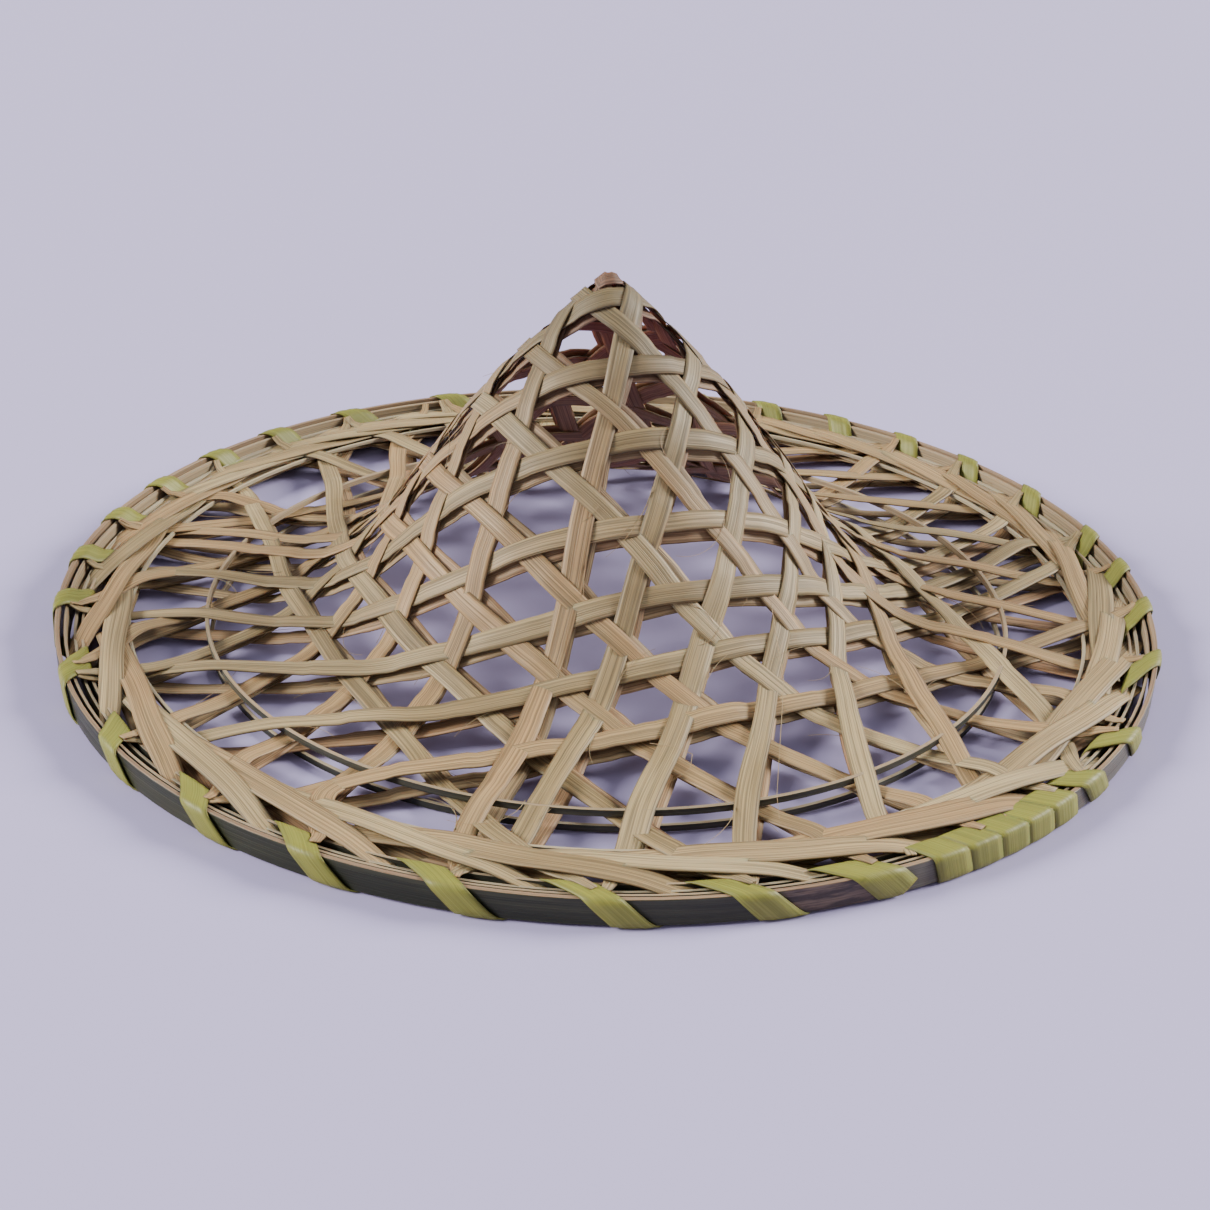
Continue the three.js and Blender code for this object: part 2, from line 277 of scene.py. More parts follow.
class Path:
    """The line down the middle of a strip, with the ways ahead, across and out at each place."""

    def __init__(self, along, points, normals, width, chance):
        self.along = along
        self.points = points
        ahead = np.gradient(points, axis=0)
        self.ahead = ahead / np.linalg.norm(ahead, axis=1)[:, None]
        across = np.cross(normals, self.ahead)
        self.across = across / np.linalg.norm(across, axis=1)[:, None]
        self.normals = np.cross(self.ahead, self.across)
        self.width = np.full(len(along), float(width))
        self.lift = np.zeros(len(along))
        self.tone = chance.random()
        self.hue = chance.random()
        self.start = chance.random() * GRAIN_LENGTH
        self.waves = chance.uniform(0, 2 * math.pi, 4)
        self.crossings = []

    def uneven(self, number, length):
        """A slow wave along the strip, between -1 and 1."""
        return np.sin(self.along / length * 2 * math.pi + self.waves[number])

    def places(self, row, across):
        """Where each vertex goes, from its row and its distance across."""
        lift = self.lift + LIFT_SWAY * self.uneven(*LIFT_WAVE)
        tilt = TILT_SWAY * (self.uneven(*TILT_WAVE) + self.uneven(*SHORT_TILT_WAVE)) / 2
        lift = lift[row] + tilt[row] * across + weave_lift(self, self.along[row], across)
        wider = 1 + WIDTH_SWAY * self.uneven(*WIDTH_WAVE)[row]
        aside = across * wider + SIDE_SWAY * self.uneven(*SIDE_WAVE)[row]
        return self.points[row] + aside[:, None] * self.across[row] + lift[:, None] * self.normals[row]


print("lengths of the waves:", [wave[1] for wave in (LIFT_WAVE, TILT_WAVE, WIDTH_WAVE, SIDE_WAVE)])

# %% [markdown]
# ## The strips of both weaves
# Each family's strips are laid one after another, and taper where they go in under the lashing.
# The inner weave follows the same table, moved a little, so its strips show beside the outer ones.

# %% Both weaves
PATH_SAMPLES = 400
WIDTH_RANGE = (0.9, 1.1)
END_TAPER = 0.6
TAPER_RADII = (190, 204)

# How much further from the tip each family passes, and how far out the strips reach
OUTER_SHIFT = (0, 0, 0, 0)
INNER_SHIFT = (2.0, 0.8, 0.8, -1.8)
OUTER_REACH = 204
INNER_REACH = 199
OUTER_SEED = 4
INNER_SEED = 9


def straight_strip(nearest, faces, width, reach, chance, back=None, held=False):
    """A strip that is straight on the flat net, out to its reach. Its other end is as far out, or
    as far back as it is told. The lashing holds both ends of a strip that is held."""
    half = math.sqrt(reach**2 - nearest**2)
    side = np.linspace(-half if back is None else -back, half, PATH_SAMPLES)
    radius = np.hypot(nearest, side)
    turn = math.radians(faces) + np.sign(side) * turn_by(nearest, radius)
    if held:
        turn = drawn_to_lashing(radius, turn, side)
    along, radius, turn = even_steps(radius, turn)
    points, normals = on_hat(radius, turn)
    strip = Path(along, points, normals, width, chance)
    strip.radius, strip.turn = radius, turn
    strip.side = np.sign(along - along[np.argmin(radius)])
    return strip


def strips_of(families, shift, reach, seed):
    """All the strips of one weave."""
    chance = np.random.default_rng(seed)
    strips = []
    for number, family in enumerate(families):
        for nearest, past in family["strips"]:
            width = family["width"] * chance.uniform(*WIDTH_RANGE)
            faces = family["faces"] + past
            strip = straight_strip(nearest + shift[number], faces, width, reach, chance, held=True)
            strip.family = number
            strip.width = strip.width * (1 - END_TAPER * smooth_step(strip.radius, *TAPER_RADII))
            strips.append(strip)
    return strips


outer_strips = strips_of(FAMILIES, OUTER_SHIFT, OUTER_REACH, OUTER_SEED)
inner_strips = strips_of(FAMILIES, INNER_SHIFT, INNER_REACH, INNER_SEED)
print("strips in each weave:", len(outer_strips))
print("longest strip, mm:", round(max(strip.along[-1] for strip in outer_strips)))

# %% [markdown]
# ## Over and under
# In an open hexagonal weave each strip goes over one and under the next, all the way along.
# Family by family this makes a round: each lies over the one before it. Where two facing
# families meet, the one whose quarter ends there lies on top. The script finds each crossing in
# plan, and notes for both strips how far along it is, and which way the other one runs.

# %% Crossings
# Stands for the sine between two strips that are parallel
PARALLEL = 1e-9

# About how far past its family's direction a strip faces, in degrees
FAMILY_PAST = 22


def flat_cross(one, other):
    """The cross product of two ways as seen from above."""
    return one[..., 0] * other[..., 1] - one[..., 1] * other[..., 0]


def crossings_between(one, other):
    """The steps of two strips that cross, and how far along each step they do."""
    places, other_places = one.points[:, :2], other.points[:, :2]
    ways = np.diff(places, axis=0)[:, None]
    other_ways = np.diff(other_places, axis=0)[None]
    gap = other_places[None, :-1] - places[:-1, None]
    between = flat_cross(ways, other_ways)
    between = np.where(between == 0, PARALLEL, between)
    part = flat_cross(gap, other_ways) / between
    other_part = flat_cross(gap, ways) / between
    hits = np.argwhere((part >= 0) & (part < 1) & (other_part >= 0) & (other_part < 1))
    return [(i, j, part[i, j], other_part[i, j]) for i, j in hits]


def lies_over(one, other, turn):
    """Whether a strip of one family lies over one of another where they cross."""
    step = (one - other) % len(FAMILIES)
    if step == 1:
        return True
    if step == len(FAMILIES) - 1:
        return False
    between = math.radians(FAMILIES[(one + 1) % len(FAMILIES)]["faces"] + FAMILY_PAST)
    return math.cos(turn - between) > 0


def note_crossing(strip, step, part, way, upward):
    """Notes on a strip how far along a crossing is, which way the other runs, and its side."""
    place = strip.along[step] + part * STEP
    strip.crossings.append((place, way @ strip.ahead[step], way @ strip.across[step], upward))


def find_crossings(strips):
    """Notes every crossing on both of its strips."""
    found = 0
    for first, one in enumerate(strips):
        for other in strips[first + 1 :]:
            if one.family == other.family:
                continue
            for i, j, part, other_part in crossings_between(one, other):
                upward = 1 if lies_over(one.family, other.family, one.turn[i]) else -1
                note_crossing(one, i, part, other.ahead[j], upward)
                note_crossing(other, j, other_part, one.ahead[i], -upward)
                found += 1
    return found


print("crossings, outer:", find_crossings(outer_strips), "inner:", find_crossings(inner_strips))

# %% [markdown]
# ## Ribbons
# A strip could be a curve with a flat profile, but a curve can't lean to one side where another
# strip crosses it at a slant. Here each strip is a flat grid that is laid along its path: every
# vertex takes its height from the crossings near it, so the strip rises over one and dips under
# the next along a slanting line. Maps and marks on the grid tell the materials where they are.

# %% Ribbons
OVER_UNDER = 0.36
CROSSING_REACH = 4
FAR_CROSSING = 30
RIBBON_COLUMNS = 4
MARKS = ("edge", "tone", "hue")


def weave_lift(path, along, across):
    """How far each place of a strip lies above or below the middle of its weave."""
    if not path.crossings:
        return np.zeros_like(along)
    where, same, slant, side = np.array(path.crossings).T
    apart = (along[:, None] - where) * slant - across[:, None] * same
    closeness = -((apart / CROSSING_REACH) ** 2) - ((along[:, None] - where) / FAR_CROSSING) ** 2
    weight = np.exp(closeness - closeness.max(axis=1, keepdims=True))
    return OVER_UNDER * (weight * side).sum(axis=1) / weight.sum(axis=1)


def new_ribbon_mesh():
    """An empty mesh with the marks and the map that the bamboo materials read."""
    bm = bmesh.new()
    for name in MARKS:
        bm.verts.layers.float.new(name)
    bm.loops.layers.uv.new("strip")
    return bm


def add_ribbon(bm, path):
    """Lays one strip along its path as a grid, with its own lengthwise map and tone."""
    rows = len(path.along) - 1
    verts = bmesh.ops.create_grid(bm, x_segments=rows, y_segments=RIBBON_COLUMNS, size=1)["verts"]
    flat = np.array([vert.co[:2] for vert in verts])
    row = np.rint((flat[:, 0] + 1) / 2 * rows).astype(int)
    across = flat[:, 1] * path.width[row] / 2
    edge, tone, hue = (bm.verts.layers.float[name] for name in MARKS)
    for vert, place, beside in zip(verts, path.places(row, across), flat[:, 1]):
        vert.co = place
        vert[edge] = beside
        vert[tone] = path.tone
        vert[hue] = path.hue
    strip_map = bm.loops.layers.uv["strip"]
    lengthwise = (path.along[row] * MM + path.start).tolist()
    place_on_strip = dict(zip(verts, zip(lengthwise, (across * MM).tolist())))
    for face in {face for vert in verts for face in vert.link_faces}:
        for loop in face.loops:
            loop[strip_map].uv = place_on_strip[loop.vert]


print("columns of faces on a strip:", RIBBON_COLUMNS)

# %% [markdown]
# ## Finished pieces
# Every piece ends in the same way: it is scaled to metres, becomes an object that rides on the
# hat's one body, and hides the solids that it stands for. A modifier gives flat strips thickness.

# %% Finished pieces
STRIP_THICKNESS = 0.45


def finish_piece(bm, name, *nodes):
    """Scales a mesh to metres, makes its object, and puts it in place of its solids."""
    bmesh.ops.scale(bm, vec=(MM, MM, MM), verts=bm.verts)
    for face in bm.faces:
        face.smooth = True
    mesh = bpy.data.meshes.new(name)
    bm.to_mesh(mesh)
    bm.free()
    piece = bpy.data.objects.new(name, mesh)
    bpy.context.scene.collection.objects.link(piece)
    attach(piece, "root")
    if nodes:
        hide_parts(*nodes)
    print(name, "faces:", len(mesh.polygons))
    return piece


def thicken(piece, thickness):
    """Gives flat strips their thickness, half to each side."""
    solid = piece.modifiers.new("thickness", "SOLIDIFY")
    solid.thickness = thickness * MM
    solid.offset = 0


def make_strips(strips, name, *nodes):
    """A piece of many flat strips."""
    bm = new_ribbon_mesh()
    for strip in strips:
        add_ribbon(bm, strip)
    piece = finish_piece(bm, name, *nodes)
    thicken(piece, STRIP_THICKNESS)
    return piece


print("strip thickness, mm:", STRIP_THICKNESS)

# %% [markdown]
# ## The ends of the strips
# On the brim a strip's one end passes over the thin upper hoop and under the next one, and its
# other end passes under the first and over the second. At the rim both rise to the lashing.
# Each is a smooth rise and fall that depends only on the radius.

# %% Rises
OUTER_LEVEL = -0.7
INNER_LEVEL = -2.9

# Radius, and how far a strip rises there
OVER_RISE = [(0, 0), (98, 0), (110, 0.5), (122, 2.3), (134, 4.0), (147, 5.1), (154, 5.3), (161, 4.7),
             (172, 3.0), (184, 1.3), (194, 2.4), (199, 3.8), (204, 4.6)]
UNDER_RISE = [(0, 0), (120, 0), (134, 0.2), (147, 1.0), (154, 1.2), (161, 1.6), (172, 2.8), (180, 3.7),
              (184, 3.7), (189, 2.8), (194, 2.7), (199, 3.8), (204, 4.5)]
INNER_RISE = [(0, 0), (134, 0), (154, 0.6), (175, 0), (190, 0.6), (204, 3.0)]

# The radii in the tables where the crown's foot, the upper hoop and the brim hoop are
TABLE_FOOT = 110
TABLE_HOOP = 154
TABLE_BRIM_HOOP = 184

UPPER_HOOP_RADIUS = 152
UPPER_HOOP_FORWARD = 11
STRIP_HEIGHT_AT_RIM = 10


def table_radius(radius, turn):
    """The radius as the tables take it: there the upper hoop is as far from the tip all round.
    On the hat its middle lies forward of the tip, so its distance changes round the brim."""
    hoop = UPPER_HOOP_RADIUS + UPPER_HOOP_FORWARD * np.cos(turn)
    inward = TABLE_FOOT + (radius - TABLE_FOOT) * (TABLE_HOOP - TABLE_FOOT) / (hoop - TABLE_FOOT)
    outward = (TABLE_HOOP
               + (radius - hoop) * (TABLE_BRIM_HOOP - TABLE_HOOP) / (TABLE_BRIM_HOOP - hoop))
    elsewhere = (radius < TABLE_FOOT) | (radius > TABLE_BRIM_HOOP)
    return np.where(elsewhere, radius, np.where(radius < hoop, inward, outward))


for strip in outer_strips:
    place = table_radius(strip.radius, strip.turn)
    over, _ = smooth_curve(OVER_RISE, place)
    under, _ = smooth_curve(UNDER_RISE, place)
    strip.lift = OUTER_LEVEL + np.where(strip.side < 0, over, under)
    strip.lift = strip.lift + back_rise(strip.radius, STRIP_HEIGHT_AT_RIM, strip.turn)
for strip in inner_strips:
    strip.lift = INNER_LEVEL + smooth_curve(INNER_RISE, strip.radius)[0]
print("highest lift on the brim:", round(max(strip.lift.max() for strip in outer_strips), 1))

# %% [markdown]
# ## The weaves
# Four strips leave a small opening at the tip. Three short strips of the inner weave close it:
# they pass just over the tip and dive under the outer weave at once. Then both weaves are made.

# %% Weaves
# Each short strip's nearest radius to the tip, and where it faces
TIP_STRIPS = [(3.4, 20), (3.9, 140), (3.6, 260)]
TIP_STRIP_WIDTH = 4.8
TIP_STRIP_REACH = 30
TIP_DIVE_RADII = (3.2, 8)
TIP_SEED = 6


def tip_strips():
    """The short strips that close the opening at the tip."""
    chance = np.random.default_rng(TIP_SEED)
    strips = []
    for nearest, faces in TIP_STRIPS:
        strip = straight_strip(nearest, faces, TIP_STRIP_WIDTH, TIP_STRIP_REACH, chance)
        strip.lift = INNER_LEVEL * smooth_step(strip.radius, *TIP_DIVE_RADII)
        strips.append(strip)
    return strips


inner_strips += tip_strips()
outer_weave = make_strips(outer_strips, "outer_strips", "outer_crown", "outer_brim")
inner_weave = make_strips(inner_strips, "inner_strips", "inner_crown", "inner_brim")

# %% [markdown]
# ## Wide strips along the rim
# At every turn of the lashing a wider strip ends. It comes along the brim like a chord of the
# rim, starts under the strip before it, and dives between the rim's hoops where the lashing holds
# it. A second set does the same lower down, for the inner weave.

# %% Rim strips
# The close group of turns holds only one of them, and the first and the last turn none
RIM_STRIP_ENDS = LASHING_TURNS[2:3] + LASHING_TURNS[6:-1]
RIM_STRIP_START = 30
RIM_STRIP_WIDTHS = (0.75, 1.1)
RIM_STRIP_TAPER = 0.55
TAPER_START = 45
TAPER_LENGTH = 40

# How near a wide strip comes to the tip, how much nearer it comes at one side, and in which turn
RIM_STRIP_NEAREST = 188.4
RIM_STRIP_NEARER = 1.2
NEARER_TURN = 22

# How far each end strays, in degrees, and how far each strip does, in mm
END_STRAY = 1
NEAREST_STRAY = 2

# Distance past the strip's nearest place to the tip, and how far it rises there
RIM_STRIP_RISE = [(-30, 3.2), (-8, 3.7), (8, 4.5), (41, 4.9), (60, 4.3), (72, 2.4), (86, 0.2)]


def rim_strip(end, deeper, width, chance):
    """A wide strip that ends at an angle on the rim."""
    end += chance.uniform(-END_STRAY, END_STRAY)
    nearest = RIM_STRIP_NEAREST - RIM_STRIP_NEARER * math.cos(math.radians(end - NEARER_TURN))
    nearest += chance.uniform(-NEAREST_STRAY, NEAREST_STRAY)
    faces = end - math.degrees(math.acos(nearest / OUTER_REACH))
    width = width * chance.uniform(*RIM_STRIP_WIDTHS)
    strip = straight_strip(nearest, faces, width, OUTER_REACH, chance, RIM_STRIP_START)
    past = strip.along - strip.along[np.argmin(strip.radius)]
    strip.lift = OUTER_LEVEL + smooth_curve(RIM_STRIP_RISE, past)[0] - deeper
    taper = ((past - TAPER_START) / TAPER_LENGTH).clip(0, 1) ** 2
    strip.width = strip.width * (1 - RIM_STRIP_TAPER * taper)
    return strip


def make_rim_strips(name, *nodes, deeper, earlier, width, seed):
    """A set of wide strips, each so many degrees before its turn of the lashing."""
    chance = np.random.default_rng(seed)
    strips = [rim_strip(end - earlier, deeper, width, chance) for end in RIM_STRIP_ENDS]
    return make_strips(strips, name, *nodes)


rim_strips = make_rim_strips("rim_strips", "folded_strip_ends",
                             deeper=0, earlier=2.6, width=9.8, seed=21)
inner_rim_strips = make_rim_strips("inner_rim_strips", deeper=5.4, earlier=7, width=8.5, seed=22)

# %% [markdown]
# ## Hoops
# A hoop is a long split of bamboo, bent round and standing on its edge. A torus would give it a
# round section, so a small rectangle is spun round the hat's axis instead, and a bevel rounds its
# edges. Its skin is on the outside, so a map of its own marks the faces there. A spin adds its
# edges and faces in another order on each run, so both are put in order before the bevel.

# %% Hoops
HOOP_STEPS = 144
THIN_BEVEL = 0.25
RIM_BEVEL = 0.35

# How many times a hoop sways in and out, and up and down, on its way round
SWAYS_OUT = 3
SWAYS_UP = 2


def round_turn(place):
    """The angle of a place from the front towards +X."""
    return math.atan2(place.x, -place.y)


def map_hoop(bm, ring, inside, outside):
    """Gives a hoop its two maps: lengthwise like a strip's, and where its skin is."""
    strip_map, skin_map = bm.loops.layers.uv["strip"], bm.loops.layers.uv["skin"]
    middle = (inside + outside) / 2
    for face in {face for vert in ring for face in vert.link_faces}:
        skin = all(loop.vert.co.xy.length > middle for loop in face.loops)
        face_turn = round_turn(face.calc_center_median())
        for loop in face.loops:
            place = loop.vert.co
            turn = round_turn(place)
            turn += 2 * math.pi * round((face_turn - turn) / (2 * math.pi))
            loop[strip_map].uv = (turn * outside * MM, (place.z + place.xy.length) * MM)
            loop[skin_map].uv = (1 if skin else 0, 0)


def spin_hoop(bm, inside, outside, bottom, top, forward, sway, chance):
    """Spins a rectangle round the hat's axis, lets it sway a little, and moves it forward."""
    older = set(bm.verts)
    corners = [(inside, bottom), (outside, bottom), (outside, top), (inside, top)]
    verts = [bm.verts.new((0, -radius, height)) for radius, height in corners]
    edges = [bm.edges.new((vert, verts[i - 1])) for i, vert in enumerate(verts)]
    bmesh.ops.spin(bm, geom=verts + edges, cent=(0, 0, 0), axis=(0, 0, 1), dvec=(0, 0, 0),
                   angle=2 * math.pi, steps=HOOP_STEPS, use_merge=True)
    ring = [vert for vert in bm.verts if vert not in older]
    map_hoop(bm, ring, inside, outside)
    tone, hue = bm.verts.layers.float["tone"], bm.verts.layers.float["hue"]
    own_tone, own_hue = chance.random(2)
    lean, rise = chance.uniform(0, 2 * math.pi, 2)
    for vert in ring:
        turn = round_turn(vert.co)
        radius = vert.co.xy.length
        vert.co.xy *= 1 + sway * math.sin(SWAYS_OUT * turn + lean) / outside
        vert.co.y -= forward
        vert.co.z += sway * math.sin(SWAYS_UP * turn + rise)
        vert.co.z += float(back_rise(np.float64(radius), vert.co.z, turn))
        vert[tone] = own_tone
        vert[hue] = own_hue


def put_in_order(bm):
    """Sorts the edges and the faces by their vertices."""
    bm.verts.index_update()

    def place_in_row(part):
        numbers = [vert.index for vert in part.verts]
        return min(numbers) * len(bm.verts) + max(numbers)

    for parts in (bm.edges, bm.faces):
        parts.sort(key=place_in_row)
        parts.index_update()


def make_hoops(name, node, bevel, seed, hoops):
    """A piece of one or more hoops: inside, outside, bottom, top, how far forward, and its sway."""
    chance = np.random.default_rng(seed)
    bm = new_ribbon_mesh()
    bm.loops.layers.uv.new("skin")
    for hoop in hoops:
        spin_hoop(bm, *hoop, chance)
    bmesh.ops.recalc_face_normals(bm, faces=bm.faces)
    put_in_order(bm)
    piece = finish_piece(bm, name, node)
    for edge in piece.data.edges:
        edge.vertices = sorted(edge.vertices)
    rounding = piece.modifiers.new("rounding", "BEVEL")
    rounding.width = bevel * MM
    rounding.segments = 2
    rounding.harden_normals = True
    return piece


RIM_OUTSIDE = 208.8
upper_hoop = make_hoops("upper_hoop_split", "upper_hoop", THIN_BEVEL, 1, [
    (UPPER_HOOP_RADIUS - 0.7, UPPER_HOOP_RADIUS + 0.8, 8.1, 10.6, UPPER_HOOP_FORWARD, 0.15)])
lower_hoop = make_hoops("lower_hoop_split", "lower_hoop", THIN_BEVEL, 2, [
    (150.3, 151.7, 0.6, 3.1, 10, 0.1)])
brim_hoop = make_hoops("brim_hoop_split", "brim_hoop", THIN_BEVEL, 3, [
    (182.2, 183.5, 7.5, 9.1, 0, 0.1)])
rim_outer = make_hoops("rim_hoop_green", "rim_hoop_outer", RIM_BEVEL, 4, [
    (207.1, RIM_OUTSIDE, 0.9, 10.1, 0, 0.1)])
rim_inner = make_hoops("rim_hoops_thin", "rim_hoop_inner", THIN_BEVEL, 5, [
    (204.8, 205.9, 1.2, 9.2, 0, 0.2), (201.6, 202.7, 1.0, 8.2, 0, 0.25),
    (198.8, 199.9, 1.2, 8.5, 0, 0.25)])

# %% [markdown]
# ## The rim's section
# One flat strip of green bamboo is wound round the whole rim. The winding hugs a rounded four-sided
# section, which is worked out first: its corners are bent as curves that start and end on its sides.

# %% Rim section
CORNER_STEPS = 6

# Corners of the rim's section in the order that the lashing takes: radius, height and rounding
RIM_CORNERS = [(209.7, 10.7, 1.6), (209.6, 0.5, 1.8), (198.1, 0.5, 2.5), (198.1, 9.3, 3.0)]
RIM_MIDDLE = np.array(RIM_CORNERS)[:, :2].mean(axis=0)
RIM_HALF = 6


def toward(corner, other, distance):
    """The place at a distance from a corner on the way to another place."""
    return corner + distance * (other - corner) / np.linalg.norm(other - corner)


def rim_section():
    """The line round the rim from the middle of its top outwards, with the length so far."""
    corners = np.array(RIM_CORNERS)
    rows = []
    for number, (radius, height, rounding) in enumerate(corners):
        corner = np.array([radius, height])
        start = toward(corner, corners[number - 1, :2], rounding)
        end = toward(corner, corners[(number + 1) % len(corners), :2], rounding)
        for t in np.linspace(0, 1, CORNER_STEPS):
            rows.append((1 - t) ** 2 * start + 2 * t * (1 - t) * corner + t**2 * end)
    middle = (corners[0, :2] + corners[-1, :2]) / 2
    rows = np.array([middle, *rows, middle])
    lengths = np.linalg.norm(np.diff(rows, axis=0), axis=1)
    return rows, np.concatenate([[0], np.cumsum(lengths)])


print("length once round the rim, mm:", rim_section()[1][-1].round(1))

# %% [markdown]
# ## Lashing
# The lashing could be a curve with a flat profile, but that twists where it turns a corner at a
# slant. Here the strip is drawn flat, on the unrolled rim: one way is the distance round the rim's
# section, the other the distance along the rim. Each vertex is then rolled back on, so the strip
# hugs the hoops without a twist.

# %% Lashing
LASHING_THICKNESS = 0.5
LASHING_CROWN = 0.25
LASHING_ROWS = 36
LASHING_RADIUS = 205
LASHING_SEED = 3

# Number of the turn, and how wide the lashing is there: it is wider in the close group
LASHING_WIDTHS = [(0, 12.4), (5, 12.4), (7, 8.8), (34, 8.8), (35, 12.4)]

# The lashing starts out of sight below the rim, and ends on the rim's outside, in turns
LASHING_START = 0.5
LASHING_END = len(LASHING_TURNS) - 2 + 0.37

# On the rim's outside the lashing goes along by this share of a turn's distance, and not more
# than this angle
OUTSIDE_SHARE = 0.4
LARGEST_SLANT = math.radians(4.3)
BENDS_SMOOTHED = 9

# Behind, the inner side of the lashing lies lower: by how much, how far behind, and which part
LASHING_DROP = 3.0
DROP_BEHIND = (-0.2, 0.6)
DROP_RADII = (206, 200)
DROP_ABOVE = 4


class Lashing(Path):
    """A strip that winds round the rim's section while it goes along the rim."""

    def __init__(self, chance):
        self.section, self.lengths = rim_section()
        round_rim = self.lengths[-1]
        turns = np.radians(LASHING_TURNS)
        winding = np.linspace(LASHING_START, LASHING_END, (len(turns) - 1) * LASHING_ROWS + 1)
        number = np.minimum(winding.astype(int), len(turns) - 2)
        part = winding - number
        pitch = np.diff(turns)[number]
        slant = np.minimum(OUTSIDE_SHARE * pitch, LARGEST_SLANT)
        outside = self.lengths[2 * CORNER_STEPS] / round_rim
        going = np.where(part < outside, slant * part / outside,
                         slant + (pitch - slant) * (part - outside) / (1 - outside))
        self.around = winding * round_rim
        self.beside = (turns[number] + going) * LASHING_RADIUS
        smooth = np.hanning(BENDS_SMOOTHED) / np.hanning(BENDS_SMOOTHED).sum()
        margin = BENDS_SMOOTHED // 2
        self.beside[margin:-margin] = np.convolve(self.beside, smooth, mode="valid")
        self.lean = np.arctan2(np.gradient(self.beside), np.gradient(self.around))
        steps = np.hypot(np.diff(self.around), np.diff(self.beside))
        self.along = np.concatenate([[0], np.cumsum(steps)])
        self.width = np.interp(winding, *np.array(LASHING_WIDTHS).T)
        self.tone, self.hue, self.start = chance.random(3)

    def places(self, row, across):
        """Where each vertex goes: from the flat drawing back round the rim."""
        around = self.around[row] - across * np.sin(self.lean[row])
        turn = (self.beside[row] + across * np.cos(self.lean[row])) / LASHING_RADIUS
        radius, height = (np.interp(around % self.lengths[-1], self.lengths, self.section[:, k])
                          for k in range(2))
        swell = 1 + LASHING_CROWN * (1 - (2 * across / self.width[row]) ** 2) / RIM_HALF
        radius = RIM_MIDDLE[0] + (radius - RIM_MIDDLE[0]) * swell
        height = RIM_MIDDLE[1] + (height - RIM_MIDDLE[1]) * swell
        height = height + back_rise(radius, height, turn)
        behind = smooth_step(-np.cos(turn), *DROP_BEHIND)
        drop = LASHING_DROP * behind * smooth_step(radius, *DROP_RADII) * (height > DROP_ABOVE)
        return np.stack([radius * np.sin(turn), -radius * np.cos(turn), height - drop], -1)


bm = new_ribbon_mesh()
add_ribbon(bm, Lashing(np.random.default_rng(LASHING_SEED)))
lashing = finish_piece(bm, "lashing_strip", "rim_lashing")
thicken(lashing, LASHING_THICKNESS)

# %% [markdown]
# ## Loose fibres
# Split bamboo sheds hair-thin fibres, which stand off the edges of the strips. Each is a curve with
# a thin round profile. It leaves a strip at its edge and curls away from it.

# %% Fibres
FIBRES = 110
FIBRE_SEED = 12
FIBRE_THICKNESS = 0.26
FIBRE_TAPER = 0.6
FIBRE_STEPS = 9
FIBRE_STRIP_RADII = (50, 180)
FIBRE_LENGTHS = (10, 34)
FIBRE_BENDS = (0.2, 1.6)
FIBRE_RISES = (-0.1, 0.12)
FIBRE_LIFT = 0.3

# Two long fibres that hang over the front: places by radius, turn in degrees and lift
LONG_FIBRES = [
    [(88, 40, 3), (98, 36, 5), (112, 32, 7), (130, 26.5, 8), (150, 22, 8.5), (166, 19.2, 7),
     (174, 18.4, 4)],
    [(126, 7, 2), (131, 10, 5), (138, 12, 7), (146, 11, 7), (150, 8, 5)],
]


def add_fibre(curve, points):
    """Adds one fibre, through points in millimetres. It gets thinner to its end."""
    spline = curve.splines.new("POLY")
    spline.points.add(len(points) - 1)
    for number, point in enumerate(points):
        spline.points[number].co = (*(np.array(point) * MM), 1)
        spline.points[number].radius = (1 - FIBRE_TAPER * number / len(points)) * MM


def curl_from(strip, chance):
    """A fibre that leaves the edge of a strip and curls away, over the ground."""
    nearest, farthest = FIBRE_STRIP_RADII
    first = chance.choice(np.flatnonzero((strip.radius > nearest) & (strip.radius < farthest)))
    hand = chance.choice([-1, 1])
    ahead = chance.choice([-1, 1]) * strip.ahead[first]
    across, out = hand * strip.across[first], strip.normals[first]
    lift = (strip.lift[first] + FIBRE_LIFT) * out
    points = [strip.points[first] + strip.width[first] / 2 * across + lift]
    length = chance.uniform(*FIBRE_LENGTHS)
    bend, rise = chance.uniform(*FIBRE_BENDS), chance.uniform(*FIBRE_RISES)
    for part in np.linspace(0, 1, FIBRE_STEPS):
        way = ahead * math.cos(bend * part) + across * math.sin(bend * part)
        way = way + out * rise * (1 - 2 * part)
        points.append(points[-1] + way * length / FIBRE_STEPS)
    return np.maximum(points, (-np.inf, -np.inf, FIBRE_THICKNESS))


def make_fibres():
    """All the fibres, as one curve object. The radius of its points is in metres, and scales the
    profile's depth, which is in millimetres."""
    curve = bpy.data.curves.new("loose_fibres", "CURVE")
    curve.dimensions = "3D"
    curve.bevel_depth = FIBRE_THICKNESS / 2
    curve.bevel_resolution = 0
    chance = np.random.default_rng(FIBRE_SEED)
    for _ in range(FIBRES):
        add_fibre(curve, curl_from(outer_strips[chance.integers(len(outer_strips))], chance))
    for places in LONG_FIBRES:
        radius, turn, lift = np.array(places).T
        points, normals = on_hat(radius, np.radians(turn))
        add_fibre(curve, points + normals * lift[:, None])
    piece = bpy.data.objects.new("loose_fibres", curve)
    bpy.context.scene.collection.objects.link(piece)
    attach(piece, "root")
    return piece


loose_fibres = make_fibres()
print("fibres:", len(loose_fibres.data.splines))

